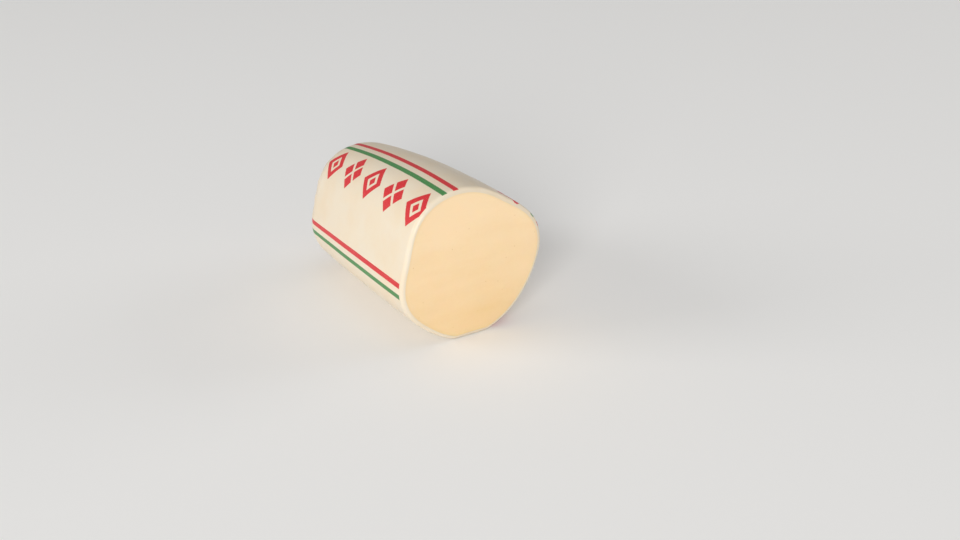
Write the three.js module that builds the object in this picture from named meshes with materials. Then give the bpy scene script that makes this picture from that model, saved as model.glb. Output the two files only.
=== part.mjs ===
// Half a log of provolone in its casing, cut clean across at one end. The film laps over the rounded
// edge of the cut and ends flush with the face.
//
// Millimetres, +Z up. The log lies along Y with the cut face towards -Y, and rests on the narrow flat
// that its own weight has pressed along the bottom. The other end is rounded: there the film casing is
// gathered in pleats to a neck, closed by a metal clip, and fans out again behind it as a short tail.
// The origin is at the centre of the base of the bounding box.

import * as THREE from 'three';

// The log.
const CUT_RADIUS = 66.3; // mean outside radius at the cut
const FAR_RADIUS = 56.1; // the same at the rounded end, as the log tapers
const BELLY = 3.3; // how much fatter the log is half way than a straight taper
const LOG_LENGTH = 200; // from the cut to the pole of the rounded end, outside the film
const SHOULDER_Y = 167; // where the rounded end begins
const SHOULDER_SQUARENESS = 2.6; // 2 would be an ellipse, more is a fuller shoulder
const SETTLED_DEPTH = 2.5; // how far the flat is pressed up into the round section
const FLAT_EDGE_SOFTNESS = 0.5; // half the height over which the flat turns up into the side

// The section is a circle with shallow lobes: a soft square, a little heavier on one side.
// turn is the direction of one lobe, in degrees from +X towards +Z.
const SECTION_LOBES = [
  { count: 2, height: 0.8, turn: -53.0 },
  { count: 3, height: 2.15, turn: 0.0 },
  { count: 4, height: 1.95, turn: 17.8 },
  { count: 5, height: 0.35, turn: -14.0 },
  { count: 6, height: 0.7, turn: 17.4 },
];

// The casing.
const FILM_THICKNESS = 0.5;
const FILM_GAP = 0.3; // between the film and the cheese
const EDGE_ROUNDING = 4; // outside radius of the film where it laps over the edge of the cut

// The gathered end.
const PLEAT_COUNT = 22;
const PLEATS_START_Y = 172;
const DOME_PLEAT = 1.5; // pleat height where the film runs into the neck
const NECK_PLEAT = 0.5;
const TAIL_PLEAT = 3.2;
const GATHER_RADIUS = 12; // where the rounded end turns out into the neck
const NECK_RADIUS = 5.5;
const NECK_START_Y = 206;
const NECK_END_Y = 212;
const TAIL_RADIUS = 10.5;
const TAIL_END_Y = 226;
const TAIL_HOLLOW_Y = 217; // the bottom of the fan's hollow
const THROAT_RADIUS = 2.7; // of the hollow, near its bottom
const FAN_WALL = 0.8; // the hollow's edge, as a share of the fan's own
const FAN_EDGE_DROP = 1; // how far that edge falls back

// The clip: a flat bar bent round the neck until its ends nearly meet.
const CLIP_BAR_WIDTH = 3.4;
const CLIP_BAR_THICKNESS = 1.6;
const CLIP_CLEARANCE = 0.35;
const CLIP_GAP_ANGLE = 24; // left open between the ends, in degrees
const CLIP_BEND_STEPS = 40;

// Fineness.
const SIDES_PER_PLEAT = 4;
const SIDES = PLEAT_COUNT * SIDES_PER_PLEAT;
const EDGE_STEPS = 4;
const BODY_STATIONS = [30, 72, 114, 145, SHOULDER_Y];
const DOME_STEPS = 10;
const GATHER_STEPS = 3;
const NECK_STEPS = 2;
const TAIL_STEPS = 4;
const POLE_SHARE = 0.12; // the last ring before a closed pole, as a share of the girth

const radians = THREE.MathUtils.degToRad;

/** Sums cosine waves round the section at one angle. */
function waves(list, angle) {
  return list.reduce((sum, w) => sum + w.height * Math.cos(w.count * (angle - radians(w.turn))), 0);
}

/** How thick the log is at y, as a share of its thickness at the cut. */
function girth(y) {
  const t = THREE.MathUtils.clamp(y / LOG_LENGTH, 0, 1);
  const radius = THREE.MathUtils.lerp(CUT_RADIUS, FAR_RADIUS, t) + BELLY * 4 * t * (1 - t);
  return radius / CUT_RADIUS;
}

/** The angles of the section's corners, one for each side. */
const ANGLES = Array.from({ length: SIDES }, (_, i) => (2 * Math.PI * i) / SIDES);

/** Depth of the lowest point of the round section under its centre, at the cut. */
const ROUND_DEPTH = Math.max(...ANGLES.map((a) => -(CUT_RADIUS + waves(SECTION_LOBES, a)) * Math.sin(a)));

/** Height of the log's middle over what it rests on. */
function middleHeight(y) {
  return (ROUND_DEPTH - SETTLED_DEPTH) * girth(y);
}

/** Presses a height flat at a floor, with a short soft turn at the edge of the flat. */
function pressFlat(z, floor) {
  const above = z - floor;
  if (above <= -FLAT_EDGE_SOFTNESS) {
    return floor;
  }
  if (above >= FLAT_EDGE_SOFTNESS) {
    return z;
  }
  return floor + (above + FLAT_EDGE_SOFTNESS) ** 2 / (4 * FLAT_EDGE_SOFTNESS);
}

/**
 * A point on the log's skin, or on a skin a little inside it.
 * @param {number} angle direction from the middle, from +X towards +Z
 * @param {object} station y along the log; share, the radius there as a share of the full girth (1 on
 *   the body, 0 at the pole); and the skin's outward direction there, as away from the axis and along it
 * @param {number} inset how far inside the film's outside
 * @param {number} proud how far a fold or flare stands out from the skin
 */
function skinPoint(angle, station, inset, proud) {
  const { y, share, away = 1, along = 0 } = station;
  const full = (CUT_RADIUS + waves(SECTION_LOBES, angle) * share) * girth(y) - inset;
  const radius = full * share + proud * away;
  const z = middleHeight(y) + radius * Math.sin(angle);
  return new THREE.Vector3(radius * Math.cos(angle), y + proud * along, pressFlat(z, inset));
}

/** Stations over the rounded end, from the shoulder to the pole, for a skin inset by some depth. */
function domeStations(inset, endShare) {
  const power = 2 / SHOULDER_SQUARENESS;
  const lastTurn = Math.acos(endShare ** (1 / power));
  const depth = LOG_LENGTH - inset - SHOULDER_Y;
  return Array.from({ length: DOME_STEPS }, (_, i) => {
    const turn = (lastTurn * (i + 1)) / DOME_STEPS;
    return { y: SHOULDER_Y + depth * Math.sin(turn) ** power, share: Math.cos(turn) ** power };
  });
}

/** Stations along the body: the same places for the cheese and both sides of the film. */
function bodyStations() {
  return BODY_STATIONS.map((y) => ({ y, share: 1 }));
}

/** Adds to each station of an outside run which way the skin faces there, from its neighbours. */
function faced(stations) {
  return stations.map((s, i) => {
    const before = stations[Math.max(i - 1, 0)];
    const after = stations[Math.min(i + 1, stations.length - 1)];
    const run = new THREE.Vector2(after.y - before.y, (after.share - before.share) * FAR_RADIUS).normalize();
    return { ...s, away: run.x, along: -run.y };
  });
}

/** Height of the pleats at y, from the shoulder through the neck to the edge of the fan. */
function pleatHeight(y) {
  if (y > NECK_START_Y) {
    const fanned = THREE.MathUtils.inverseLerp(NECK_END_Y, TAIL_END_Y, Math.max(y, NECK_END_Y));
    return THREE.MathUtils.lerp(NECK_PLEAT, TAIL_PLEAT, fanned);
  }
  const gathered = THREE.MathUtils.smoothstep(y, PLEATS_START_Y, LOG_LENGTH);
  const squeezed = THREE.MathUtils.smoothstep(y, LOG_LENGTH, NECK_START_Y);
  return THREE.MathUtils.lerp(DOME_PLEAT * gathered, NECK_PLEAT, squeezed);
}

/** The fold at one angle: 0 in a valley, 1 on a crest, no two pleats quite alike. */
function fold(angle) {
  const crest = 0.5 + 0.5 * Math.cos(PLEAT_COUNT * angle);
  return crest * (0.8 + 0.2 * Math.cos(5 * angle + 1));
}

/** Stations of the outside of the gathered film: down to the neck, along it, and out to the tail. */
function gatherStations() {
  const neckShare = NECK_RADIUS / FAR_RADIUS;
  const domeEnd = new THREE.Vector2(LOG_LENGTH, GATHER_RADIUS / FAR_RADIUS);
  const neckStart = new THREE.Vector2(NECK_START_Y, neckShare);
  const corner = new THREE.Vector2(LOG_LENGTH + 1, neckShare);
  const turnOut = new THREE.QuadraticBezierCurve(domeEnd, corner, neckStart);
  const stations = [];
  for (let i = 1; i <= GATHER_STEPS; i += 1) {
    const p = turnOut.getPoint(i / GATHER_STEPS);
    stations.push({ y: p.x, share: p.y });
  }
  for (let i = 1; i <= NECK_STEPS; i += 1) {
    stations.push({ y: THREE.MathUtils.lerp(NECK_START_Y, NECK_END_Y, i / NECK_STEPS), share: neckShare });
  }
  for (let i = 1; i <= TAIL_STEPS; i += 1) {
    const t = i / TAIL_STEPS;
    const radius = THREE.MathUtils.lerp(NECK_RADIUS, TAIL_RADIUS, Math.sin((t * Math.PI) / 2));
    stations.push({ y: THREE.MathUtils.lerp(NECK_END_Y, TAIL_END_Y, t), share: radius / FAR_RADIUS });
  }
  return stations;
}

/** A ring of points round the log at one station. */
function ring(station, inset, proud = () => 0) {
  return ANGLES.map((a) => skinPoint(a, station, inset, proud(a)));
}

/** Rings over the rounded edge of the cut, from the face to the side, at some depth in the skin. */
function edgeRings(depth) {
  const bend = EDGE_ROUNDING - depth;
  return Array.from({ length: EDGE_STEPS + 1 }, (_, i) => {
    const turn = (Math.PI / 2) * (1 - i / EDGE_STEPS);
    const y = EDGE_ROUNDING - bend * Math.sin(turn);
    return ring({ y, share: 1 }, EDGE_ROUNDING - bend * Math.cos(turn));
  });
}

/** The single point on the log's axis at y. */
function axisPoint(y) {
  return new THREE.Vector3(0, y, middleHeight(y));
}

/**
 * Joins rings of equal count into one closed skin, from a first point to a last point on the axis.
 * Where the rings go towards +Y the outside faces away from the axis, and where they go back it
 * faces the axis. Each four-sided facet is split along the same diagonal either way, so that skins
 * one inside the other keep their distance.
 */
function closedSkin(first, rings, last) {
  const points = [first, ...rings.flat(), last];
  const start = (r) => 1 + r * SIDES;
  const index = [];
  const end = points.length - 1;
  for (let i = 0; i < SIDES; i += 1) {
    const j = (i + 1) % SIDES;
    index.push(0, start(0) + i, start(0) + j);
    for (let r = 0; r < rings.length - 1; r += 1) {
      const a = start(r) + i;
      const b = start(r) + j;
      const c = start(r + 1) + j;
      const d = start(r + 1) + i;
      if (points[d].y < points[a].y) {
        index.push(a, d, b, d, c, b);
      } else {
        index.push(a, d, c, a, c, b);
      }
    }
    index.push(end, start(rings.length - 1) + j, start(rings.length - 1) + i);
  }
  const geometry = new THREE.BufferGeometry();
  geometry.setAttribute('position', new THREE.Float32BufferAttribute(points.flatMap((p) => [...p]), 3));
  geometry.setIndex(index);
  geometry.computeVertexNormals();
  return geometry;
}

/** The cheese: a flat cut face flush with the film's edge, the body and the rounded end inside it. */
function cheeseGeometry() {
  const inset = FILM_THICKNESS + FILM_GAP;
  const faceInset = EDGE_ROUNDING + FILM_GAP;
  const rings = [
    ring({ y: 0, share: 1 }, faceInset),
    ring({ y: inset, share: 1 }, faceInset),
    ...edgeRings(inset),
    ...bodyStations().map((s) => ring(s, inset)),
    ...domeStations(inset, POLE_SHARE).map((s) => ring(s, inset)),
  ];
  return closedSkin(axisPoint(0), rings, axisPoint(LOG_LENGTH - inset));
}

/** The casing: along its inside from the rounded end to the cut edge, and back over its outside. */
function wrapperGeometry() {
  const inside = [...bodyStations(), ...domeStations(FILM_THICKNESS, POLE_SHARE)].reverse();
  const gathered = faced([...domeStations(0, GATHER_RADIUS / FAR_RADIUS), ...gatherStations()]);
  const fanEdge = { y: TAIL_END_Y - FAN_EDGE_DROP, share: (TAIL_RADIUS * FAN_WALL) / FAR_RADIUS };
  const fanThroat = { y: TAIL_HOLLOW_Y + FAN_EDGE_DROP, share: THROAT_RADIUS / FAR_RADIUS };
  const rings = [
    ...inside.map((s) => ring(s, FILM_THICKNESS)),
    ...edgeRings(FILM_THICKNESS).reverse(),
    ...edgeRings(0),
    ...bodyStations().map((s) => ring(s, 0)),
    ...gathered.map((s) => ring(s, 0, (a) => pleatHeight(s.y) * fold(a))),
    ring(fanEdge, 0, (a) => pleatHeight(TAIL_END_Y) * FAN_WALL * fold(a)),
    ring(fanThroat, 0),
  ];
  return closedSkin(axisPoint(LOG_LENGTH - FILM_THICKNESS), rings, axisPoint(TAIL_HOLLOW_Y));
}

/** The clip: a flat bar with rounded corners, swept round the neck as a nearly closed ring. */
function clipGeometry() {
  const inner = NECK_RADIUS + NECK_PLEAT + CLIP_CLEARANCE;
  const bendRadius = inner + CLIP_BAR_THICKNESS / 2;
  const open = radians(CLIP_GAP_ANGLE) / 2;
  const bend = new THREE.Curve();
  bend.getPoint = (t, target = new THREE.Vector3()) => {
    const a = THREE.MathUtils.lerp(open, 2 * Math.PI - open, t) - Math.PI / 2;
    return target.set(bendRadius * Math.cos(a), 0, bendRadius * Math.sin(a));
  };
  const corner = CLIP_BAR_THICKNESS * 0.3;
  const x = CLIP_BAR_WIDTH / 2;
  const y = CLIP_BAR_THICKNESS / 2;
  const bar = new THREE.Shape();
  bar.moveTo(-x + corner, -y);
  bar.lineTo(x - corner, -y);
  bar.lineTo(x, -y + corner);
  bar.lineTo(x, y - corner);
  bar.lineTo(x - corner, y);
  bar.lineTo(-x + corner, y);
  bar.lineTo(-x, y - corner);
  bar.lineTo(-x, -y + corner);
  return new THREE.ExtrudeGeometry(bar, { steps: CLIP_BEND_STEPS, extrudePath: bend });
}

/** A named piece of the group. */
function piece(name, geometry, finish) {
  const mesh = new THREE.Mesh(geometry, new THREE.MeshStandardMaterial(finish));
  mesh.name = name;
  return mesh;
}

const log = new THREE.Group();
log.add(piece('cheese', cheeseGeometry(), { color: 0xf8dcab, roughness: 0.5, metalness: 0 }));
log.add(piece('wrapper', wrapperGeometry(), { color: 0xeae4cd, roughness: 0.28, metalness: 0 }));

const clip = piece('clip', clipGeometry(), { color: 0xc4c7ca, roughness: 0.3, metalness: 1 });
clip.position.copy(axisPoint((NECK_START_Y + NECK_END_Y) / 2));
log.add(clip);

// The log's pieces are placed from the cut face: the group is moved so that its box is centred.
const box = new THREE.Box3().setFromObject(log);
const centre = box.getCenter(new THREE.Vector3());
log.position.set(-centre.x, -centre.y, -box.min.z);

export default log;
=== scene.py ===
"""Half a log of provolone in its printed film casing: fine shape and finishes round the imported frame.

The log lies along Y, its cut face towards -Y. Everything is in metres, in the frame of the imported
model. Each piece is first modelled in the log's own frame, which has its origin on the ground under
the middle of the cut face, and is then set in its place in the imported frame.
"""

import logging
import math
from abc import ABC, abstractmethod
from collections.abc import Iterator, Sequence
from contextlib import contextmanager
from dataclasses import dataclass, replace
from enum import Enum
from functools import cached_property
from itertools import pairwise
from typing import Any, ClassVar

import bpy
import numpy as np
from bpy.types import Material, Node, NodeSocket, Object
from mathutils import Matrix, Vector, noise


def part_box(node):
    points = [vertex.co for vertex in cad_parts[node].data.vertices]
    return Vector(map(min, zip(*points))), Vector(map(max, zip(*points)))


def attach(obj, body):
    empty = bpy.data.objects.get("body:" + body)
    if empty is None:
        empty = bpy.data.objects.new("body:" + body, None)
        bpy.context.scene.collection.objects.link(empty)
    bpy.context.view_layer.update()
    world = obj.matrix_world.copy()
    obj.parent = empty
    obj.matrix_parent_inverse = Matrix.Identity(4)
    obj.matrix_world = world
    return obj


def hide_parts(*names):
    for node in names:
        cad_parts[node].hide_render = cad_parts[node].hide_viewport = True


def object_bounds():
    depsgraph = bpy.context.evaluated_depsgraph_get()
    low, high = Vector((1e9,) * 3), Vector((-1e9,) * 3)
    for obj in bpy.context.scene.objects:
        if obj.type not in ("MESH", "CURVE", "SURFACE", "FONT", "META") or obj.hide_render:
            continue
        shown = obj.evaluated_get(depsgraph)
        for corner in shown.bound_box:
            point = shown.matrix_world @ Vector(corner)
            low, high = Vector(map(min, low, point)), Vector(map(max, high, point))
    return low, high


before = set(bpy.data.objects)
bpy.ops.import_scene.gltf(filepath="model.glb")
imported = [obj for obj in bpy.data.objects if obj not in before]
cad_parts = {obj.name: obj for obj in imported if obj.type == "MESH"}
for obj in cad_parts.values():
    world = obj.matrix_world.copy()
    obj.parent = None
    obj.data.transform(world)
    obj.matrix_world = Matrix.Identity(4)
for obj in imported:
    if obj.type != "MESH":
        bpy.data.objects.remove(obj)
cad_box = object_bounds()

MM = 0.001
BODY = "root"
DEPTH_ATTRIBUTE = "rind_depth"

# The rolled-out map: across, one turn of the log; up, metres from the cut, past a margin.
ROLL_MAP = "roll_out"
ROLL_LENGTH = 0.3
ROLL_MARGIN = 5 * MM

log = logging.getLogger("provolone")

Colour = Triple = tuple[float, float, float]
Reals = float | np.ndarray


# ---- Shader graphs ----


def linear(colour: Colour) -> tuple[float, ...]:
    """Turns a display colour, from 0 to 255, into a shader's linear one with an alpha of 1."""
    shares = np.array((*colour, 255)) / 255
    return tuple(np.where(shares <= 0.04045, shares / 12.92, ((shares + 0.055) / 1.055) ** 2.4).tolist())


@dataclass(frozen=True)
class Value:
    """A number that varies over a surface: a socket of a graph, whose arithmetic adds Math nodes."""

    graph: "Graph"
    socket: NodeSocket

    def math(self, operation: str, *others: "Number") -> "Value":
        """Adds a Math node with this value as its first input."""
        return self.graph.math(operation, self, *others)

    def __add__(self, other: "Number") -> "Value":
        """Sum."""
        return self.math("ADD", other)

    __radd__ = __add__

    def __sub__(self, other: "Number") -> "Value":
        """Difference."""
        return self.math("SUBTRACT", other)

    def __rsub__(self, other: "Number") -> "Value":
        """Difference, reflected."""
        return self.graph.math("SUBTRACT", other, self)

    def __mul__(self, other: "Number") -> "Value":
        """Product."""
        return self.math("MULTIPLY", other)

    def __truediv__(self, other: "Number") -> "Value":
        """Quotient."""
        return self.math("DIVIDE", other)

    def __abs__(self) -> "Value":
        """Size without sign."""
        return self.math("ABSOLUTE")

    def clamped(self) -> "Value":
        """This value kept from 0 to 1."""
        return self.graph.math("ADD", self, 0.0, clamp=True)

    def above(self, low: float, gain: float) -> "Value":
        """How far this value is over a low one, times a gain, kept from 0 to 1."""
        return ((self - low) * gain).clamped()


Number = Value | float


class Graph:
    """A material's node tree, built by arithmetic on values and by one method for every other node."""

    def __init__(self, name: str) -> None:
        """Starts an empty material.

        Args:
            name: the material's name.
        """
        self.material = bpy.data.materials.new(name)
        self.material.use_nodes = True
        self.tree = self.material.node_tree
        self.tree.nodes.clear()

    def node(self, kind: str, inputs: dict[Any, Any], **settings: Any) -> Node:
        """Adds one node.

        Args:
            kind: the node's type.
            inputs: for each socket, by identifier or number, a value or what is linked to it.
            settings: the node's own settings, set before its sockets.

        Returns:
            The node.
        """
        made = self.tree.nodes.new(kind)
        for key, setting in settings.items():
            setattr(made, key, setting)
        sockets = dict(enumerate(made.inputs)) | {s.identifier: s for s in made.inputs}
        for key, given in inputs.items():
            source = given.socket if isinstance(given, Value) else given
            if isinstance(source, NodeSocket):
                self.tree.links.new(source, sockets[key])
            else:
                sockets[key].default_value = source
        return made

    def math(self, operation: str, *operands: Number, clamp: bool = False) -> Value:
        """Adds a Math node on these operands, its result kept from 0 to 1 if clamp is set."""
        made = self.node("ShaderNodeMath", dict(enumerate(operands)), operation=operation, use_clamp=clamp)
        return Value(self, made.outputs[0])

    @cached_property
    def place(self) -> NodeSocket:
        """The surface point in the piece's own coordinates, in metres."""
        return self.node("ShaderNodeTexCoord", {}).outputs["Object"]

    def axis(self, vector: NodeSocket, number: int) -> Value:
        """One axis of a vector: 0, 1 or 2."""
        return Value(self, self.node("ShaderNodeSeparateXYZ", {0: vector}).outputs[number])

    def noise(self, scale: float | Triple, detail: float = 2.0) -> Value:
        """Adds smooth noise over the piece.

        Args:
            scale: its features to the metre, the same all ways or along each axis.
            detail: how many finer layers it has.

        Returns:
            The noise, about 0 to 1.
        """
        vector = self.place
        if isinstance(scale, tuple):
            stretched = self.node("ShaderNodeVectorMath", {0: vector, 1: scale}, operation="MULTIPLY")
            vector, scale = stretched.outputs[0], 1.0
        made = self.node("ShaderNodeTexNoise", {"Vector": vector, "Scale": scale, "Detail": detail})
        return Value(self, made.outputs[0])

    def about(self, middle: float, spread: float, scale: float, detail: float = 2.0) -> Value:
        """Noise of a scale and detail that varies over a spread about a middle value."""
        return self.noise(scale, detail) * spread + (middle - spread / 2)

    def mix(self, share: Number, first: Any, second: Any) -> NodeSocket:
        """Mixes two colours.

        Args:
            share: how much there is of the second.
            first: a linear colour or a socket.
            second: the same.

        Returns:
            The mixed colour.
        """
        inputs = {"Factor_Float": share, "A_Color": first, "B_Color": second}
        made = self.node("ShaderNodeMix", inputs, data_type="RGBA", clamp_factor=True)
        return next(s for s in made.outputs if s.identifier == "Result_Color")

    def bumped(self, height: Value, distance: float, strength: float) -> NodeSocket:
        """A normal bent by a height from 0 to 1 that stands for a real distance."""
        inputs = {"Height": height, "Distance": distance, "Strength": strength}
        return self.node("ShaderNodeBump", inputs).outputs[0]

    def finish(self, sockets: dict[str, Any]) -> Material:
        """Ends the graph in a Principled surface.

        Args:
            sockets: what each of the surface's sockets is given.

        Returns:
            The material.
        """
        surface = self.node("ShaderNodeBsdfPrincipled", sockets)
        self.node("ShaderNodeOutputMaterial", {"Surface": surface.outputs[0]})
        return self.material


# ---- Finishes ----


class Finish(ABC):
    """How a piece looks."""

    @abstractmethod
    def material(self) -> Material:
        """Builds the material."""


class Motif(Enum):
    """The two red ornaments of the casing, which take turns along it."""

    LOZENGE = "an open upright lozenge with a small solid one in its middle"
    QUARTET = "four small solid lozenges, one at each point of a larger one"


@dataclass(frozen=True)
class Lozenge:
    """An upright lozenge, by half its height, round the log, and half its width, along the log."""

    half_height: float
    half_width: float

    @property
    def edge(self) -> float:
        """Distance of each side from the middle."""
        return 1 / math.hypot(1 / self.half_height, 1 / self.half_width)

    def out(self, across: Value, along: Value) -> Value:
        """How far out a point is, square to the nearest side."""
        return (abs(across) / self.half_height + abs(along) / self.half_width) * self.edge


@dataclass(frozen=True)
class CasingPrint:
    """The casing's print, in panels that repeat round the log.

    Each panel starts with a red and a green stripe along the log. Beside them runs a row of red
    ornaments, but for the third panel, which is kept clear for a label, and the narrow rest at the
    seam. Angles are in degrees round the log, other sizes in metres on the rolled-out film.
    """

    first_panel: float = 11.5
    panel_pitch: float = 83.5
    panels_with_row: tuple[int, ...] = (0, 1, 3)
    metres_per_degree: float = 63.5 * MM * math.pi / 180
    red_offset: float = 6.6 * MM
    red_width: float = 4.4 * MM
    green_offset: float = 16.1 * MM
    green_width: float = 4.2 * MM
    row_offset: float = 37.1 * MM
    motif_pitch: float = 36.5 * MM
    first_motif: float = 13 * MM
    large: Lozenge = Lozenge(15.5 * MM, 14 * MM)
    stroke: float = 4.9 * MM
    core_share: float = 0.28
    small: Lozenge = Lozenge(6.9 * MM, 6.3 * MM)
    spread_across: float = 8.8 * MM
    spread_along: float = 8.0 * MM
    ink_edge: float = 0.3 * MM
    edge_wobble: float = 0.5 * MM
    bare_start: float = 2.6 * MM
    bare_swing: float = 2.0 * MM
    bare_side: float = 220.0

    def covered(self, inside: Value) -> Value:
        """Turns the distance inside an outline into ink cover, with a soft edge."""
        return (inside / self.ink_edge + 0.5).clamped()

    def ornament(self, motif: Motif, across: Value, along: Value) -> Value:
        """Draws an ornament.

        Args:
            motif: which one.
            across: distance from the row's middle, round the log.
            along: distance from the ornament's middle, along the log.

        Returns:
            Ink cover, 0 to 1.
        """
        if motif is Motif.QUARTET:
            upright = self.small.out(abs(across) - self.spread_across, along)
            level = self.small.out(across, abs(along) - self.spread_along)
            return self.covered(self.small.edge - upright.math("MINIMUM", level))
        out = self.large.out(across, along)
        outline = self.stroke / 2 - abs(out - (self.large.edge - self.stroke / 2))
        return self.covered(outline.math("MAXIMUM", self.large.edge * self.core_share - out))

    def stripe(self, place: Value, middle: float, width: float) -> Value:
        """A stripe along the log at a place in its panel."""
        return self.covered(width / 2 - abs(place - middle))

    def inks(self, turn: Value, run: Value, wobble: Value) -> tuple[Value, Value]:
        """Works out where the film is printed.

        Args:
            turn: degrees round the log.
            run: metres from the cut.
            wobble: noise about 0, which roughens the inks' edges.

        Returns:
            The cover of the red ink and of the green ink.
        """
        shift = wobble * self.edge_wobble
        from_first = (turn - self.first_panel).math("FLOORED_MODULO", 360.0)
        place = from_first.math("MODULO", self.panel_pitch) * self.metres_per_degree + shift
        step = ((run - self.first_motif) / self.motif_pitch + 0.5).math("FLOOR")
        along = run - self.first_motif - step * self.motif_pitch + shift
        lozenge, quartet = (self.ornament(motif, place - self.row_offset, along) for motif in Motif)
        is_second = step.math("FLOORED_MODULO", 2.0).math("GREATER_THAN", 0.5)
        ornaments = quartet * is_second + lozenge * (1 - is_second)
        panel = (from_first / self.panel_pitch).math("FLOOR")
        with_row = sum(panel.math("COMPARE", number, 0.5) for number in self.panels_with_row)
        red = self.stripe(place, self.red_offset, self.red_width).math("MAXIMUM", ornaments * with_row)
        green = self.stripe(place, self.green_offset, self.green_width)
        swing = (turn - self.bare_side).math("RADIANS").math("COSINE") * self.bare_swing
        printed = self.covered(run - self.bare_start - swing)
        return red * printed, green * printed


@dataclass(frozen=True)
class FilmFinish(Finish):
    """Glossy ivory film, printed red and green, warmer where it clings to the cheese."""

    ivory: Colour = (230, 215, 192)
    clinging: Colour = (230, 210, 181)
    red: Colour = (208, 6, 32)
    green: Colour = (53, 130, 64)
    ink_strength: float = 0.97
    roughness: float = 0.4
    printing: CasingPrint = CasingPrint()
    grain_scale: float = 900.0
    wear_scale: float = 2600.0
    cling_scale: float = 38.0
    dimple_scale: float = 170.0
    crease_scale: Triple = (240.0, 34.0, 240.0)
    sheen_scale: float = 120.0

    def material(self) -> Material:
        """Builds the film's material.

        Returns:
            The material.
        """
        graph = Graph("casing_film")
        rolled = graph.node("ShaderNodeUVMap", {}, uv_map=ROLL_MAP).outputs[0]
        turn = graph.axis(rolled, 0) * 360.0
        run = graph.axis(rolled, 1) * ROLL_LENGTH - ROLL_MARGIN
        grain = graph.noise(self.grain_scale, detail=3.0)
        worn = graph.noise(self.wear_scale).above(0.22, gain=9.0)
        red, green = (ink * worn * self.ink_strength for ink in self.printing.inks(turn, run, grain - 0.5))
        cling = graph.noise(self.cling_scale, detail=3.0).above(0.38, gain=3.0)
        colour = graph.mix(cling, linear(self.ivory), linear(self.clinging))
        colour = graph.mix(red, colour, linear(self.red))
        colour = graph.mix(green, colour, linear(self.green))
        relief = graph.noise(self.dimple_scale) * 0.6 + graph.noise(self.crease_scale) * 0.5
        sheen = graph.about(self.roughness, 0.16, self.sheen_scale, detail=3.0)
        return graph.finish({
            "Base Color": colour,
            "Roughness": sheen + (red + green) * 0.06,
            "IOR": 1.46,
            "Coat Weight": 0.1,
            "Coat Roughness": 0.2,
            "Subsurface Weight": 0.15,
            "Subsurface Radius": (1.0, 0.75, 0.5),
            "Subsurface Scale": 1.5 * MM,
            "Normal": graph.bumped(grain * 0.25 + relief, 0.1 * MM, strength=0.6),
        })


@dataclass(frozen=True)
class CheeseFinish(Finish):
    """Smooth pale cheese, cut by a broad knife: cream, faintly layered, a shade deeper at the rind; painted
    shade darkens the face towards its bottom and in its pinholes.
    """

    cream: Colour = (244, 216, 175)
    butter_and_painted_shade: Colour = (234, 201, 149)
    rind: Colour = (232, 199, 143)
    # Painted shade: a darker colour put into the pinholes, where shade falls in them.
    painted_pit_shade: Colour = (214, 174, 116)
    pit_spacing: float = 4 * MM
    pit_reach: float = 0.17
    pit_share: float = 0.08
    rind_depth: float = 2.0 * MM
    # Painted shade: from high down to low the face's colour turns towards the darker butter colour, so the
    # face is darker towards its bottom.
    low: float = 10 * MM
    high: float = 105 * MM
    roughness: float = 0.46
    cloud_scale: float = 26.0
    curd_scale: float = 420.0
    drag_scale: Triple = (22.0, 22.0, 640.0)
    layer_scale: Triple = (16.0, 16.0, 75.0)
    sheen_scale: float = 90.0

    def pits(self, graph: Graph) -> Value:
        """Finds the pinholes of the cheese.

        Args:
            graph: the cheese's graph.

        Returns:
            1 in the middle of a pinhole, 0 outside all of them.
        """
        inputs = {"Vector": graph.place, "Scale": 1 / self.pit_spacing}
        cells = graph.node("ShaderNodeTexVoronoi", inputs).outputs
        draw = graph.node("ShaderNodeSeparateColor", {0: cells["Color"]}).outputs[0]
        near = 1 - Value(graph, cells["Distance"]) / self.pit_reach
        return (near * 2.0).clamped() * Value(graph, draw).math("LESS_THAN", self.pit_share)

    def material(self) -> Material:
        """Builds the cheese's material.

        Returns:
            The material.
        """
        graph = Graph("provolone")
        depth = graph.node("ShaderNodeAttribute", {}, attribute_name=DEPTH_ATTRIBUTE).outputs["Fac"]
        rim = (1 - Value(graph, depth) / self.rind_depth).clamped()
        clouds = graph.noise(self.cloud_scale, detail=3.0).above(0.35, gain=2.6)
        curd = graph.noise(self.curd_scale, detail=3.0)
        drag = graph.noise(self.drag_scale)
        layers = graph.noise(self.layer_scale, detail=5.0)
        pits = self.pits(graph)
        # Painted shade: the base colour darkens from high down to low, towards the bottom of the face.
        painted_shade_below = ((self.high - graph.axis(graph.place, 2)) / (self.high - self.low)).clamped()
        share = painted_shade_below * 0.8 + (clouds + curd - 1) * 0.2 + (layers - 0.5) * 0.8
        colour = graph.mix(share, linear(self.cream), linear(self.butter_and_painted_shade))
        colour = graph.mix(rim * 0.3, colour, linear(self.rind))
        # Painted shade in the pinholes, on top of their bump.
        colour = graph.mix(pits * 0.5, colour, linear(self.painted_pit_shade))
        return graph.finish({
            "Base Color": colour,
            "Roughness": graph.about(self.roughness, 0.2, self.sheen_scale, detail=3.0),
            "IOR": 1.45,
            "Specular IOR Level": 0.4,
            "Subsurface Weight": 0.35,
            "Subsurface Radius": (1.0, 0.6, 0.3),
            "Subsurface Scale": 4 * MM,
            "Normal": graph.bumped(curd * 0.25 + drag * 0.35 - pits * 0.4, 0.15 * MM, strength=0.6),
        })


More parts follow.
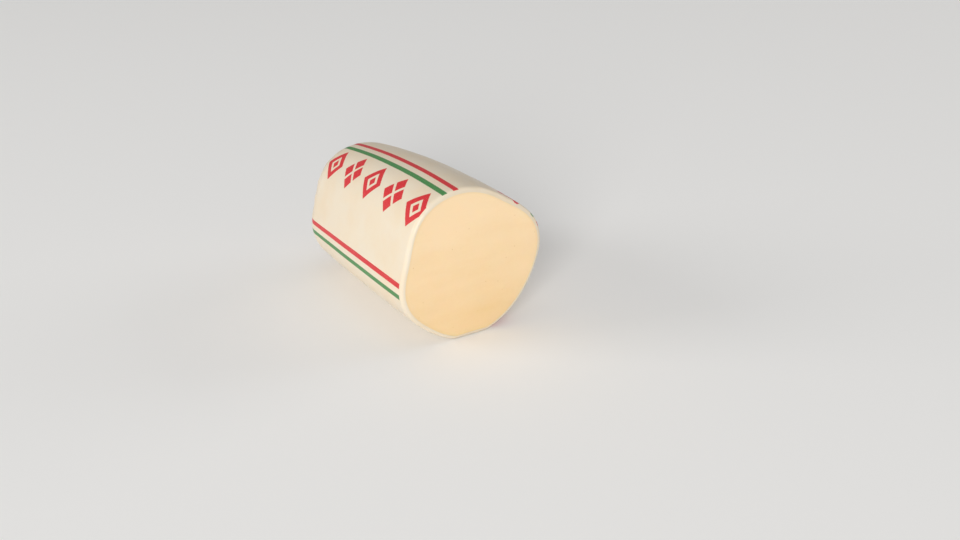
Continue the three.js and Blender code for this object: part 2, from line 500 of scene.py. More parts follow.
@dataclass(frozen=True)
class ClipFinish(Finish):
    """Bright aluminium, rubbed along the bar and dulled in patches."""

    metal: Colour = (226, 228, 231)
    dulled: Colour = (188, 190, 194)
    roughness: float = 0.3
    patch_scale: float = 320.0
    rub_scale: Triple = (500.0, 7000.0, 500.0)

    def material(self) -> Material:
        """Builds the clip's material.

        Returns:
            The material.
        """
        graph = Graph("clip_metal")
        patches = graph.noise(self.patch_scale, detail=3.0).above(0.4, gain=3.0)
        rubbed = graph.noise(self.rub_scale)
        return graph.finish({
            "Base Color": graph.mix(patches, linear(self.metal), linear(self.dulled)),
            "Metallic": 1.0,
            "Roughness": rubbed * 0.2 + patches * 0.12 + (self.roughness - 0.1),
            "Normal": graph.bumped(rubbed, 0.02 * MM, strength=0.5),
        })


@dataclass(frozen=True)
class FloorFinish(Finish):
    """Matt pale card."""

    card: Colour = (245, 244, 242)
    roughness: float = 0.85
    speckle_scale: float = 60.0

    def material(self) -> Material:
        """Builds the floor's material.

        Returns:
            The material.
        """
        graph = Graph("pale_floor")
        return graph.finish({
            "Base Color": linear(self.card),
            "Roughness": graph.about(self.roughness, 0.1, self.speckle_scale),
            "Specular IOR Level": 0.1,
        })


# ---- Form ----


@dataclass(frozen=True)
class Wave:
    """A cosine wave round the section: its number of crests, its height, and where one is, in degrees."""

    count: int
    height: float
    turn: float


def summed(waves: Sequence[Wave], angles: np.ndarray) -> np.ndarray:
    """Adds waves up at each angle, in radians from +X towards +Z."""
    return sum(w.height * np.cos(w.count * (angles - math.radians(w.turn))) for w in waves)


def smooth_step(value: Reals, low: float, high: float) -> Reals:
    """Goes smoothly from 0 at low to 1 at high."""
    share = np.clip((value - low) / (high - low), 0, 1)
    return share * share * (3 - 2 * share)


def steps(start: float, end: float, count: int) -> list[float]:
    """Even steps on from a start, the last of them at the end."""
    return np.linspace(start, end, count + 1)[1:].tolist()


def noise_at(points: np.ndarray) -> np.ndarray:
    """Smooth noise from -1 to 1 at each row of points."""
    found = [noise.noise(point) for point in points.reshape(-1, 3).tolist()]
    return np.array(found).reshape(points.shape[:-1])


@dataclass(frozen=True)
class Station:
    """One ring round the log.

    Attributes:
        y: place along the log, from the cut.
        share: the radius as a share of the full girth, 1 on the body and 0 at the pole.
        inset: depth under the outside of the film.
        away: how much the skin faces away from the axis.
        along: how much it faces along it.
        turn: how far round the edge of the cut it is, in radians.
        inner: whether it is on the film's inside there.
        pleated: how much of the pleats' height it has.
        shrink: its size, when drawn in evenly towards the middle of the cut face.
    """

    y: Reals
    share: float = 1.0
    inset: Reals = 0.0
    away: float = 1.0
    along: float = 0.0
    turn: float = 0.0
    inner: bool = False
    pleated: float = 0.0
    shrink: float = 1.0


@dataclass(frozen=True)
class LogForm:
    """The log's outer form: a round section with shallow lobes, a slight taper and a rounded end.

    The edge of the cut is rounded too, and between its two turns of edge_blend, in radians, a skin
    comes nearer to the outside. A skin that nothing shows of has the hidden sizes.
    """

    cut_radius: float = 66.3 * MM
    far_radius: float = 56.1 * MM
    belly: float = 3.3 * MM
    length: float = 200 * MM
    shoulder: float = 167 * MM
    squareness: float = 2.6
    settled: float = 2.5 * MM
    flat_softness: float = 0.5 * MM
    edge_rounding: float = 4 * MM
    edge_blend: tuple[float, float] = (math.radians(30), math.radians(80))
    sides: int = 264
    hidden_start: float = 5 * MM
    hidden_step: float = 24 * MM
    hidden_dome_steps: int = 14
    pole_share: float = 0.03
    lobes: tuple[Wave, ...] = (
        Wave(2, 0.8 * MM, -53.0),
        Wave(3, 2.15 * MM, 0.0),
        Wave(4, 1.95 * MM, 17.8),
        Wave(5, 0.35 * MM, -14.0),
        Wave(6, 0.7 * MM, 17.4),
    )

    @cached_property
    def angles(self) -> np.ndarray:
        """The angle of each side, from +X towards +Z."""
        return np.arange(self.sides) * (2 * math.pi / self.sides)

    @cached_property
    def height_at_cut(self) -> float:
        """Height of the section's middle over the ground at the cut."""
        depth = -(self.cut_radius + summed(self.lobes, self.angles)) * np.sin(self.angles)
        return float(depth.max()) - self.settled

    def girth(self, y: Reals) -> Reals:
        """How thick the log is at y, as a share of its thickness at the cut."""
        t = np.clip(y / self.length, 0, 1)
        return 1 + (self.far_radius - self.cut_radius + self.belly * 4 * (1 - t)) * t / self.cut_radius

    def middle_height(self, y: Reals) -> Reals:
        """Height of the log's middle over the ground at y."""
        return self.height_at_cut * self.girth(y)

    def pressed(self, z: np.ndarray, ground: Reals) -> np.ndarray:
        """Presses heights flat at the ground, with a short soft turn at the edge of the flat."""
        turned = ground + np.maximum(z - ground + self.flat_softness, 0) ** 2 / (4 * self.flat_softness)
        return np.where(z - ground < self.flat_softness, turned, z)

    def ring(self, station: Station, proud: Reals = 0.0) -> np.ndarray:
        """Points round the log at a station.

        Args:
            station: where, and on which skin.
            proud: how far the skin stands out there, for each side or for all.

        Returns:
            One row for each side.
        """
        on_skin = station.y + np.zeros(self.sides)
        y = on_skin + proud * station.along
        full = (self.cut_radius + summed(self.lobes, self.angles) * station.share) * self.girth(on_skin)
        radius = (full - station.inset) * station.share + proud * station.away
        middle = self.middle_height(on_skin)
        height = self.pressed(middle + radius * np.sin(self.angles), station.inset)
        points = np.stack([radius * np.cos(self.angles), y, height], axis=1)
        centre = np.stack([np.zeros(self.sides), y, middle], axis=1)
        return centre + (points - centre) * station.shrink

    def over_edge(self, turn: Reals, depth: Reals) -> tuple[Reals, Reals]:
        """Where a skin lies as it turns over the edge of the cut.

        Args:
            turn: how far round, in radians: 0 on the side, a quarter turn at the face, more on it.
            depth: the skin's depth under the outside of the film.

        Returns:
            Its place along the log, and its inset.
        """
        bent = np.minimum(turn, math.pi / 2)
        bend = self.edge_rounding - depth
        on_face = (turn - bent) * self.edge_rounding
        return self.edge_rounding - bend * np.sin(bent), self.edge_rounding - bend * np.cos(bent) + on_face

    def edge_depth(self, turn: Reals, side: float, face: float) -> Reals:
        """Depth of a skin that comes nearer to the outside as it turns on to the face of the cut."""
        return side + (face - side) * smooth_step(turn, *self.edge_blend)

    def dome(self, inset: float, end_share: float, count: int) -> list[Station]:
        """Stations over the rounded end, from past the shoulder to near the pole.

        Args:
            inset: depth under the film's outside.
            end_share: the last ring's radius as a share of the full one.
            count: how many rings.

        Returns:
            The stations, with no outward directions yet.
        """
        power = 2 / self.squareness
        depth = self.length - inset - self.shoulder
        return [
            Station(self.shoulder + depth * math.sin(t) ** power, math.cos(t) ** power, inset)
            for t in steps(0, math.acos(end_share ** (1 / power)), count)
        ]

    def hidden_stations(self, inset: float) -> list[Station]:
        """A skin that nothing shows of, widely spaced.

        Args:
            inset: depth under the film's outside.

        Returns:
            Its stations, from the pole to the rounded edge of the cut.
        """
        dome = self.dome(inset, self.pole_share, self.hidden_dome_steps)[::-1]
        places = np.arange(self.shoulder, self.hidden_start, -self.hidden_step)
        return dome + [Station(y, inset=inset) for y in places.tolist()]

    def faced(self, stations: Sequence[Station]) -> list[Station]:
        """Gives the stations of an outside run the direction that the skin faces at each.

        Args:
            stations: the run, from the shoulder on.

        Returns:
            The same stations with their directions.
        """
        profile = np.array([(s.y, s.share * self.far_radius) for s in stations])
        run = np.gradient(profile, axis=0)
        facing = (run / np.linalg.norm(run, axis=1, keepdims=True)).tolist()
        return [replace(s, away=along_y, along=-out) for s, (along_y, out) in zip(stations, facing)]


# ---- Modelling ----


def deselect_all() -> None:
    """Leaves nothing selected, as each new piece starts."""
    bpy.ops.object.select_all(action="DESELECT")


@contextmanager
def editing(piece: Object, chosen: np.ndarray | None = None) -> Iterator[None]:
    """Keeps a piece open in edit mode, with some or all of its vertices selected at first.

    Args:
        piece: a mesh object in object mode.
        chosen: whether each vertex is selected; without it, all are.

    Yields:
        Nothing.
    """
    bpy.context.view_layer.objects.active = piece
    bpy.ops.object.mode_set(mode="EDIT")
    bpy.ops.mesh.select_mode(type="VERT")
    bpy.ops.mesh.select_all(action="SELECT" if chosen is None else "DESELECT")
    if chosen is not None:
        bpy.ops.object.mode_set(mode="OBJECT")
        piece.data.vertices.foreach_set("select", chosen)
        bpy.ops.object.mode_set(mode="EDIT")
    yield
    bpy.ops.object.mode_set(mode="OBJECT")


def face_outwards(piece: Object) -> None:
    """Merges a piece's doubles and turns every face outwards.

    Args:
        piece: a mesh object in object mode.
    """
    with editing(piece):
        bpy.ops.mesh.remove_doubles(threshold=0.001 * MM)
        bpy.ops.mesh.normals_make_consistent(inside=False)


def places_of(piece: Object) -> np.ndarray:
    """The places of a piece's vertices, one row each."""
    return np.array([vertex.co for vertex in piece.data.vertices])


def set_places(piece: Object, places: np.ndarray) -> None:
    """Moves each of a piece's vertices to its row of places."""
    piece.data.vertices.foreach_set("co", places.ravel())
    piece.data.update()


class RingMesh:
    """A mesh made of whole rings round the log's axis.

    Attributes:
        piece: the mesh object, with its vertices in blocks of one ring each.
        count: how many sides a ring has.
        side: which side of the log each vertex is on.
        ring: which ring each vertex is in.
    """

    def __init__(self, form: LogForm, stations: Sequence[Station]) -> None:
        """Models the rings: a circle, extruded and resized station by station, open at both ends.

        Args:
            form: the log's form.
            stations: the rings, in order along the skin.
        """
        deselect_all()
        radii = [(form.cut_radius * form.girth(s.y) - s.inset) * s.share * s.shrink for s in stations]
        place, turn = (0, stations[0].y, 0), (math.pi / 2, 0, 0)
        bpy.ops.mesh.primitive_circle_add(
            vertices=form.sides, radius=radii[0], location=place, rotation=turn
        )
        self.piece = bpy.context.object
        bpy.ops.object.transform_apply(location=True, rotation=True)
        with editing(self.piece):
            for (here, there), (radius, next_radius) in zip(pairwise(stations), pairwise(radii)):
                bpy.ops.mesh.extrude_edges_move(TRANSFORM_OT_translate={"value": (0, there.y - here.y, 0)})
                scale = next_radius / radius
                bpy.ops.transform.resize(value=(scale, 1, scale), center_override=(0, there.y, 0))
        x, _, z = places_of(self.piece).T
        self.count = form.sides
        self.side = np.rint(np.arctan2(z, x) / (2 * math.pi / form.sides)).astype(int) % form.sides
        self.ring = np.arange(len(x)) // form.sides

    def shape(self, rings: Sequence[np.ndarray]) -> None:
        """Moves each vertex to its place, given by ring, side and axis."""
        set_places(self.piece, np.array(rings)[self.ring, self.side])

    def roll_out(self, runs: Sequence[float]) -> None:
        """Adds the rolled-out map.

        Args:
            runs: how far along the skin each ring is from the cut.
        """
        mesh = self.piece.data
        corners = np.array([loop.vertex_index for loop in mesh.loops])
        column = self.side[corners].reshape(-1, 4)
        wraps = (column.max(axis=1) == self.count - 1) & (column.min(axis=1) == 0)
        column = np.where(wraps[:, None] & (column == 0), self.count, column).ravel()
        up = (np.array(runs)[self.ring[corners]] + ROLL_MARGIN) / ROLL_LENGTH
        layer = mesh.uv_layers.new(name=ROLL_MAP)
        layer.uv.foreach_set("vector", np.stack([column / self.count, up], axis=1).ravel())

    def closed(self) -> Object:
        """Draws the last and the first ring in to a point each, and faces the mesh outwards.

        Returns:
            The finished mesh object.
        """
        for first in (len(self.ring) - self.count, 0):
            number = np.arange(len(self.piece.data.vertices))
            with editing(self.piece, (number >= first) & (number < first + self.count)):
                bpy.ops.mesh.merge(type="CENTER")
        face_outwards(self.piece)
        return self.piece


# ---- Pieces ----


@dataclass(frozen=True)
class Piece(ABC):
    """A piece of the log.

    Attributes:
        name: the piece's name.
        node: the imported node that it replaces.
        slot: the record's material slot.
        crease: the angle past which an edge is shaded sharp, in degrees.
        finish: the piece's looks.
        form: the form of the whole log.
    """

    name: ClassVar[str]
    node: ClassVar[str]
    slot: ClassVar[str]
    crease: ClassVar[float]
    finish: Finish
    form: LogForm = LogForm()

    @abstractmethod
    def model(self) -> Object:
        """Models the piece in the log's own frame."""

    def build(self, origin: Vector) -> None:
        """Models, dresses and places the piece.

        Args:
            origin: the log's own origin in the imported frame.
        """
        piece = self.model()
        piece.name = piece.data.name = self.name
        deselect_all()
        piece.select_set(True)
        bpy.context.view_layer.objects.active = piece
        bpy.ops.object.shade_smooth_by_angle(angle=math.radians(self.crease))
        piece.location = origin
        bpy.ops.object.transform_apply(location=True)
        piece.data.materials.append(self.finish.material())
        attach(piece, BODY)
        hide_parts(self.node)
        log.info("%s: %d faces, in place of %s", piece.name, len(piece.data.polygons), self.node)


@dataclass(frozen=True)
class Grain:
    """Noise on a skin: its features to the metre round the log and along it, and a shift along it."""

    around: float
    along: float = 0.0
    shift: float = 0.0


@dataclass(frozen=True)
class Casing(Piece):
    """The film casing: a thin shell, cut at one end, gathered to a neck and a fan at the other.

    Places are measured along the log from the cut, and angles are in radians.
    """

    name: ClassVar[str] = "film_casing"
    node: ClassVar[str] = "wrapper"
    slot: ClassVar[str] = "casing_film"
    crease: ClassVar[float] = 60.0
    finish: FilmFinish = FilmFinish()
    thickness: float = 0.5 * MM
    edge_thickness: float = 0.1 * MM
    lap_turn: float = math.radians(86)
    lap_waves: tuple[Wave, ...] = (
        Wave(1, math.radians(4), 15.0),
        Wave(3, math.radians(2), 75.0),
        Wave(7, math.radians(1.5), 12.0),
    )
    lap_nicks: float = math.radians(1.5)
    nick_grain: Grain = Grain(500.0)
    lap_steps: int = 12
    body_step: float = 2.2 * MM
    dome_steps: int = 42
    pleat_count: int = 22
    pleats_start: float = 172 * MM
    start_spread: float = 7 * MM
    start_grain: Grain = Grain(90.0, shift=5.0)
    pleat_variety: Wave = Wave(5, 0.2, math.degrees(-0.2))
    dome_pleat: float = 1.7 * MM
    neck_pleat: float = 0.5 * MM
    tail_pleat: float = 3.2 * MM
    small_pleat_share: float = 0.22
    small_pleat_grain: Grain = Grain(700.0, 40.0)
    gather_radius: float = 12 * MM
    gather_corner: float = 201 * MM
    neck_radius: float = 5.5 * MM
    neck_start: float = 206 * MM
    neck_end: float = 212 * MM
    tail_radius: float = 10.5 * MM
    tail_end: float = 226 * MM
    fan_inner_share: float = 0.8
    fan_sharpening: float = 0.7
    hollow_end: float = 217 * MM
    hollow_radius: float = 2.7 * MM
    hollow_flare: float = 0.7
    pole: Station = Station(216.6 * MM, 0.012)
    gather_steps: int = 9
    neck_steps: int = 5
    tail_steps: int = 13
    fan_steps: int = 4
    hollow_steps: int = 7
    ripple: float = 0.13 * MM
    ripple_grain: Grain = Grain(160.0, 14.0)
    swell_grain: Grain = Grain(36.0, 30.0)
    patch_grain: Grain = Grain(25.0, 25.0, 7.0)
    patchiness: float = 0.4
    crimp: float = 0.22 * MM
    crimp_grain: Grain = Grain(300.0, 60.0, 3.0)
    crimp_reach: float = 8 * MM
    relief_fade: tuple[float, float] = (math.radians(20), math.radians(75))
    seam_angle: float = math.radians(0)
    seam_width: float = 4 * MM
    seam_height: float = 0.22 * MM
    seam_slope: float = 0.6 * MM

    def model(self) -> Object:
        """Models the film: its plain inside, then its outside with all its relief.

        Returns:
            The film.
        """
        inside, outside = self.inside_stations(), self.outside_stations()
        film = RingMesh(self.form, inside + outside)
        film.shape([self.form.ring(self.lapped(s)) for s in inside] + [self.shaped(s) for s in outside])
        film.roll_out([-ROLL_MARGIN] * len(inside) + self.runs(outside))
        return film.closed()

    def inside_stations(self) -> list[Station]:
        """The hidden inside, from the pole of the rounded end to the free edge."""
        turns = steps(0, self.lap_turn, self.lap_steps // 2)
        return self.form.hidden_stations(self.thickness) + [self.edge_station(t, True) for t in turns]

    def outside_stations(self) -> list[Station]:
        """The outside, with all that shows of it.

        Returns:
            Its stations, from the free edge, over the body and the rounded end, to the bottom of the fan.
        """
        form = self.form
        edge = [self.edge_station(t, False) for t in steps(0, self.lap_turn, self.lap_steps)[::-1]]
        count = round((form.shoulder - form.edge_rounding) / self.body_step)
        body = [Station(y) for y in [form.edge_rounding, *steps(form.edge_rounding, form.shoulder, count)]]
        dome = form.dome(0.0, self.gather_radius / form.far_radius, self.dome_steps)
        closed = [replace(s, pleated=1.0) for s in form.faced(dome + self.gather_stations())]
        return edge + body + closed + self.fan_stations()

    def edge_station(self, turn: float, inner: bool, uneven: Reals = 0.0) -> Station:
        """A ring of the lap over the edge of the cut.

        Args:
            turn: how far round the edge it is.
            inner: whether it is on the film's inside, which comes nearer as the film thins out.
            uneven: how much further round than lap_turn the film reaches, for each side or for all.

        Returns:
            The ring's station.
        """
        turned = turn * (1 + uneven / self.lap_turn)
        depth = self.form.edge_depth(turned, self.thickness, self.edge_thickness) if inner else 0.0
        y, inset = self.form.over_edge(turned, depth)
        return Station(y, inset=inset, away=math.cos(turn), along=-math.sin(turn), turn=turn, inner=inner)

    @cached_property
    def uneven_lap(self) -> np.ndarray:
        """How much further round the edge of the cut the film reaches at each side."""
        nicks = self.lap_nicks * self.noise_round(self.nick_grain, 0.0)
        return summed(self.lap_waves, self.form.angles) + nicks

    def lapped(self, station: Station) -> Station:
        """A station with the uneven end of the lap, if it is on the lap."""
        return self.edge_station(station.turn, station.inner, self.uneven_lap) if station.turn else station

    def gather_stations(self) -> list[Station]:
        """The film's way from the rounded end down into the neck, along it, and out over the tail.

        Returns:
            Its stations.
        """
        start = Vector((self.form.length, self.gather_radius))
        corner = Vector((self.gather_corner, self.neck_radius))
        end = Vector((self.neck_start, self.neck_radius))
        places = [start.lerp(corner, t).lerp(corner.lerp(end, t), t) for t in steps(0, 1, self.gather_steps)]
        places += [(y, self.neck_radius) for y in steps(self.neck_start, self.neck_end, self.neck_steps)]
        for t in steps(0, 1, self.tail_steps):
            radius = self.neck_radius + (self.tail_radius - self.neck_radius) * math.sin(t * math.pi / 2)
            places.append((self.neck_end + (self.tail_end - self.neck_end) * t, radius))
        return [Station(y, radius / self.form.far_radius) for y, radius in places]

    def fan_stations(self) -> list[Station]:
        """The film's way round the fan's own edge and down into its hollow.

        Returns:
            Its stations, the last at the pole.
        """
        inner_radius = self.tail_radius * self.fan_inner_share
        wall = (self.tail_radius - inner_radius) / 2
        places = []
        for t in steps(0, math.pi, self.fan_steps + 1):
            radius = self.tail_radius - wall + wall * math.cos(t)
            pleated = 1 - (1 - self.fan_inner_share) * t / math.pi
            places.append((self.tail_end + wall / 2 * math.sin(t), radius, pleated))
        for t in steps(0, 1, self.hollow_steps):
            radius = inner_radius + (self.hollow_radius - inner_radius) * t ** self.hollow_flare
            y = self.tail_end + (self.hollow_end - self.tail_end) * t
            places.append((y, radius, self.fan_inner_share * (1 - t)))
        fan = [Station(y, radius / self.form.far_radius, pleated=pleated) for y, radius, pleated in places]
        return fan + [self.pole]

    def runs(self, stations: Sequence[Station]) -> list[float]:
        """How far each outside ring is from the cut along the skin.

        Args:
            stations: the outside rings, from the free edge on.

        Returns:
            One distance for each ring.
        """
        found = [(1 - self.lap_turn) * self.form.edge_rounding]
        for here, there in pairwise(stations):
            away = (there.share - here.share) * self.form.far_radius - (there.inset - here.inset)
            found.append(found[-1] + math.hypot(there.y - here.y, away))
        return found

    def shaped(self, station: Station) -> np.ndarray:
        """One ring of the film with all its relief.

        Args:
            station: which ring.

        Returns:
            Its points, one for each side.
        """
        proud = self.body_relief(station) if station.share == 1 else np.zeros(self.form.sides)
        if station.pleated:
            proud = proud + station.pleated * self.pleat_relief(station.y)
        return self.form.ring(self.lapped(station), proud)

    def noise_round(self, grain: Grain, y: float) -> np.ndarray:
        """Noise round the log at one place along it, which meets itself after a turn.

        Args:
            grain: which noise.
            y: the place along the log.

        Returns:
            One number for each side.
        """
        a = self.form.angles
        radius = self.form.far_radius * grain.around
        level = np.full_like(a, y * grain.along + grain.shift)
        return noise_at(np.stack([radius * np.cos(a), level, radius * np.sin(a)], axis=1))

    def body_relief(self, station: Station) -> np.ndarray:
        """Low ripples of the stretched film, finer crimps at the cut, and the lengthwise seam.

        Args:
            station: a ring of the body or of the lap.

        Returns:
            How far each side stands out.
        """
        y = station.y
        patches = 1 - self.patchiness + self.patchiness * self.noise_round(self.patch_grain, y)
        ripples = self.noise_round(self.ripple_grain, y) * patches + self.noise_round(self.swell_grain, y)
        crimps = math.exp(-max(y, 0.0) / self.crimp_reach) * self.noise_round(self.crimp_grain, y)
        from_seam = (self.form.angles - self.seam_angle + math.pi) % (2 * math.pi) - math.pi
        place = np.abs(from_seam) * self.form.far_radius
        seam = 1 - smooth_step(place, self.seam_width / 2 - self.seam_slope, self.seam_width / 2)
        relief = self.ripple * ripples + self.crimp * crimps + self.seam_height * seam
        return relief * (1 - smooth_step(station.turn, *self.relief_fade))

    def pleat_relief(self, y: float) -> np.ndarray:
        """The pleats, each starting at its own place, with small folds between them.

        Args:
            y: place along the log.

        Returns:
            How far each side stands out.
        """
        a = self.form.angles
        spread = self.start_spread * (1 - smooth_step(y, self.form.shoulder, self.neck_start))
        place = y + spread * self.noise_round(self.start_grain, y)
        gathered = self.dome_pleat * smooth_step(place, self.pleats_start, self.form.length)
        squeezed = smooth_step(place, self.form.length, self.neck_start)
        fanned = np.clip((place - self.neck_end) / (self.tail_end - self.neck_end), 0, 1)
        height = gathered + (self.neck_pleat - gathered) * squeezed
        height = height + (self.tail_pleat - self.neck_pleat) * fanned
        sharpness = 1 + self.fan_sharpening * smooth_step(y, self.neck_end, self.tail_end)
        crests = (0.5 + 0.5 * np.cos(self.pleat_count * a)) ** sharpness
        variety = 1 - self.pleat_variety.height + summed([self.pleat_variety], a)
        small = self.small_pleat_share * self.noise_round(self.small_pleat_grain, y)
        return height * (crests * variety + small)


@dataclass(frozen=True)
class Eye:
    """A small opening in the cut face: its place across and up from the face's middle, and its size."""

    across: float
    up: float
    radius: float
    depth: float


@dataclass(frozen=True)
class CheeseBody(Piece):
    """The cheese: a flat cut face with the knife's marks, the body and the rounded end."""

    name: ClassVar[str] = "cheese_body"
    node: ClassVar[str] = "cheese"
    slot: ClassVar[str] = "cheese"
    crease: ClassVar[float] = 70.0
    finish: CheeseFinish = CheeseFinish()
    inset: float = 0.6 * MM
    face_depth: float = 0.12 * MM
    edge_steps: int = 10
    face_step: float = 0.9 * MM
    sway: float = 0.15 * MM
    sway_scale: Triple = (18.0, 0.0, 30.0)
    drag: float = 0.05 * MM
    drag_scale: Triple = (16.0, 0.0, 420.0)
    drag_slant: float = 3.0
    drag_shift: float = 4.0
    calm_rim: float = 0.8
    eyes: tuple[Eye, ...] = (
        Eye(33 * MM, -29 * MM, 1.3 * MM, 0.45 * MM),
        Eye(-21 * MM, 17 * MM, 0.9 * MM, 0.2 * MM),
        Eye(12 * MM, -8 * MM, 1.0 * MM, 0.15 * MM),
    )

    def model(self) -> Object:
        """Models the cheese, and notes how deep under its rind each ring of the face is.

        Returns:
            The cheese.
        """
        stations = self.stations()
        body = RingMesh(self.form, stations)
        rings = np.stack([self.form.ring(station) for station in stations])
        on_face = np.array([station.shrink < 1 for station in stations])
        rings[on_face] = self.carved(rings[on_face])
        body.shape(rings)
        depths = [(1 - station.shrink) * self.form.cut_radius for station in stations]
        attribute = body.piece.data.attributes.new(DEPTH_ATTRIBUTE, "FLOAT", "POINT")
        attribute.data.foreach_set("value", np.repeat(depths, self.form.sides))
        return body.closed()

    def stations(self) -> list[Station]:
        """The cheese's skin and its face.

        Returns:
            The stations, from the pole of the rounded end, along the body and in over the face.
        """
        form = self.form
        edge = []
        for turn in np.linspace(0, math.pi / 2, self.edge_steps).tolist():
            y, inset = form.over_edge(turn, form.edge_depth(turn, self.inset, self.face_depth))
            edge.append(Station(y, inset=inset))
        shrinks = steps(1, 0, round(form.cut_radius / self.face_step))[:-1]
        return form.hidden_stations(self.inset) + edge + [replace(edge[-1], shrink=k) for k in shrinks]

    def carved(self, rings: np.ndarray) -> np.ndarray:
        """Gives the face the knife's slight sway and drag lines, and its few small eyes.

        Args:
            rings: the face's points by ring, side and axis.

        Returns:
            The same points, moved along the log.
        """
        x, up = rings[..., 0], rings[..., 2] - self.form.middle_height(0.0)
        fade = 1 - smooth_step(np.hypot(x, up), self.form.cut_radius * self.calm_rim, self.form.cut_radius)
        still = np.zeros_like(x)
        flat = np.stack([x, still, up], axis=-1)
        slant = np.stack([up * self.drag_slant, still + self.drag_shift, still], axis=-1)
        depth = self.sway * (0.5 + 0.5 * noise_at(flat * self.sway_scale))
        depth = depth + self.drag * noise_at(flat * self.drag_scale + slant)
        for eye in self.eyes:
            off = np.hypot(x - eye.across, up - eye.up) / eye.radius
            depth = depth + eye.depth * np.exp(-(off ** 4))
        moved = rings.copy()
        moved[..., 1] += depth * fade
        return moved


@dataclass(frozen=True)
class NeckClip(Piece):
    """The clip: a flat bar bent round the neck until its ends nearly meet."""

    name: ClassVar[str] = "neck_clip"
    node: ClassVar[str] = "clip"
    slot: ClassVar[str] = "clip_metal"
    crease: ClassVar[float] = 40.0
    finish: ClipFinish = ClipFinish()
    bar_width: float = 3.4 * MM
    bar_thickness: float = 1.6 * MM
    bar_cuts: int = 3
    inner_radius: float = 6.35 * MM
    gap: float = math.radians(24)
    middle_y: float = 209 * MM
    bend_steps: int = 72
    rounding: float = 0.36 * MM
    rounding_segments: int = 3
    jaw_marks: int = 5
    jaw_depth: float = 0.12 * MM
    jaw_sharpness: int = 6
    tip_angle: float = math.radians(14)
    tip_taper: float = 0.3

    @property
    def centre(self) -> Vector:
        """The middle of the ring, in the log's own frame."""
        return Vector((0, self.middle_y, self.form.middle_height(self.middle_y)))

    @property
    def bend_radius(self) -> float:
        """Radius of the bar's middle."""
        return self.inner_radius + self.bar_thickness / 2

    @property
    def span(self) -> float:
        """How far round the bar goes, in radians."""
        return 2 * math.pi - self.gap

    def model(self) -> Object:
        """Models the clip: a bent bar, worked to its last shape.

        Returns:
            The clip.
        """
        piece = self.bent_bar()
        set_places(piece, self.worked(places_of(piece)))
        return piece

    def bent_bar(self) -> Object:
        """Spins the bar's section round the neck as a nearly closed ring, and rounds its edges.

        Returns:
            The bent bar.
        """
        deselect_all()
        bpy.ops.mesh.primitive_plane_add(size=1, location=self.centre + Vector((self.bend_radius, 0, 0)))
        piece = bpy.context.object
        piece.scale = (self.bar_thickness, self.bar_width, 1)
        bpy.ops.object.transform_apply(location=True, scale=True)
        with editing(piece):
            bpy.ops.mesh.subdivide(number_cuts=self.bar_cuts)
            bpy.ops.mesh.spin(steps=self.bend_steps, angle=self.span, center=self.centre, axis=(0, -1, 0))
        face_outwards(piece)
        bevel = piece.modifiers.new("rounded_edges", "BEVEL")
        bevel.width = self.rounding
        bevel.segments = self.rounding_segments
        bevel.limit_method = "ANGLE"
        bevel.angle_limit = math.radians(self.crease)
        bpy.ops.object.modifier_apply(modifier=bevel.name)
        return piece

    def worked(self, places: np.ndarray) -> np.ndarray:
        """Turns the gap to the bottom, thins the tips, and presses in the marks of the closing jaws.

        Args:
            places: the places of the bent bar's vertices.

        Returns:
            Their new places.
        """
        centre = np.array(self.centre)
        x, y, z = (places - centre).T
        around = np.arctan2(z, x) % (2 * math.pi)
        to_end = np.minimum(around, self.span - around)
        taper = 1 - self.tip_taper * (1 - smooth_step(to_end, 0, self.tip_angle))
        radius = np.hypot(x, z)
        outer = smooth_step(radius, self.bend_radius, self.bend_radius + self.bar_thickness / 2)
        jaws = np.cos(around / self.span * 2 * math.pi * self.jaw_marks)
        radius = radius - self.jaw_depth * outer * np.maximum(0, jaws) ** self.jaw_sharpness
        turned = around + self.gap / 2 - math.pi / 2
        return np.stack([radius * np.cos(turned), y * taper, radius * np.sin(turned)], axis=1) + centre


# ---- Studio ----


def aim(thing: Object, target: Triple) -> None:
    """Turns a light or a camera towards a target."""
    thing.rotation_euler = (Vector(target) - thing.location).to_track_quat("-Z", "Y").to_euler()


@dataclass(frozen=True)
class SoftLight:
    """A square white studio light: its place, its size and its power in watts."""

    name: str
    place: Triple
    size: float
    power: float

    def build(self, target: Triple) -> None:
        """Adds the light.

        Args:
            target: the point that it is turned towards.
        """
        bpy.ops.object.light_add(type="AREA", location=self.place)
        lamp = bpy.context.object
        lamp.name = self.name
        lamp.data.size = self.size
        lamp.data.energy = self.power
        aim(lamp, target)


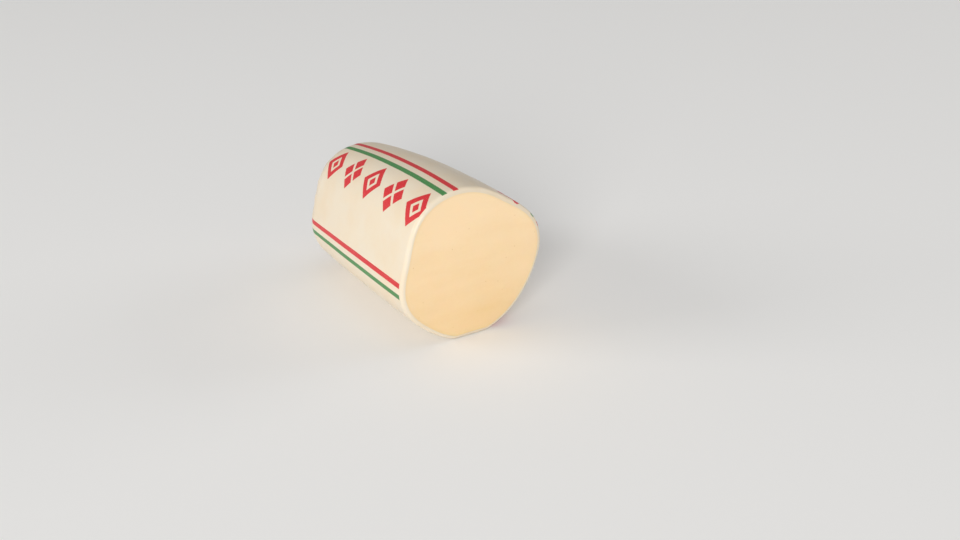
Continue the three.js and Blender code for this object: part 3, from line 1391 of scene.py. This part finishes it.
@dataclass(frozen=True)
class Studio:
    """A pale floor, soft light from the front left, and the camera."""

    camera_place: Triple = (-0.55526, -0.99786, 0.55)
    camera_aim: Triple = (0.07261, -0.00862, 0.0)
    lens: float = 53.09
    sensor: float = 36.0
    floor_size: float = 30.0
    surround: float = 0.3
    light_aim: Triple = (0.0, 0.0, 0.06)
    lights: tuple[SoftLight, ...] = (
        SoftLight("key", (-4.35, -5.17, 2.5), 3.0, 372.0),
        SoftLight("side", (-6.12, 2.85, 2.5), 3.0, 144.0),
        SoftLight("fill", (5.0, -0.75, 1.75), 3.0, 56.0),
        SoftLight("top", (0.5, 0.0, 4.5), 4.0, 25.0),
    )
    floor_finish: FloorFinish = FloorFinish()

    def build(self) -> None:
        """Sets up the floor, the lights, the surround and the camera."""
        deselect_all()
        self.lay_floor()
        for light in self.lights:
            light.build(self.light_aim)
        self.set_surround()
        self.set_camera()

    def lay_floor(self) -> None:
        """Lays a broad floor at the height that the log rests on."""
        bpy.ops.mesh.primitive_plane_add(size=self.floor_size, location=(0, 0, cad_box[0].z))
        floor = bpy.context.object
        floor.name = "floor"
        floor.data.materials.append(self.floor_finish.material())

    def set_surround(self) -> None:
        """Gives the room an even dim light."""
        world = bpy.data.worlds.new("studio")
        world.use_nodes = True
        background = world.node_tree.nodes["Background"]
        background.inputs["Color"].default_value = (1, 1, 1, 1)
        background.inputs["Strength"].default_value = self.surround
        bpy.context.scene.world = world
        bpy.context.scene.view_settings.view_transform = "Standard"

    def set_camera(self) -> None:
        """Sets the camera level, aimed at the log from its front left and above."""
        bpy.ops.object.camera_add(location=self.camera_place)
        camera = bpy.context.object
        camera.name = "camera"
        camera.data.lens = self.lens
        camera.data.sensor_width = self.sensor
        camera.data.dof.use_dof = False
        aim(camera, self.camera_aim)
        bpy.context.scene.camera = camera


def log_origin() -> Vector:
    """The log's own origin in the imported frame: on the ground, under the middle of the cut face."""
    (clip_low, clip_high), (cheese_low, _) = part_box("clip"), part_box("cheese")
    return Vector(((clip_low.x + clip_high.x) / 2, cheese_low.y, cad_box[0].z))


def main() -> None:
    """Builds the pieces in order, then the studio."""
    logging.basicConfig(level=logging.INFO, format="%(message)s")
    origin = log_origin()
    for piece in (CheeseBody(), Casing(), NeckClip()):
        piece.build(origin)
    Studio().build()


if __name__ == "__main__":
    main()
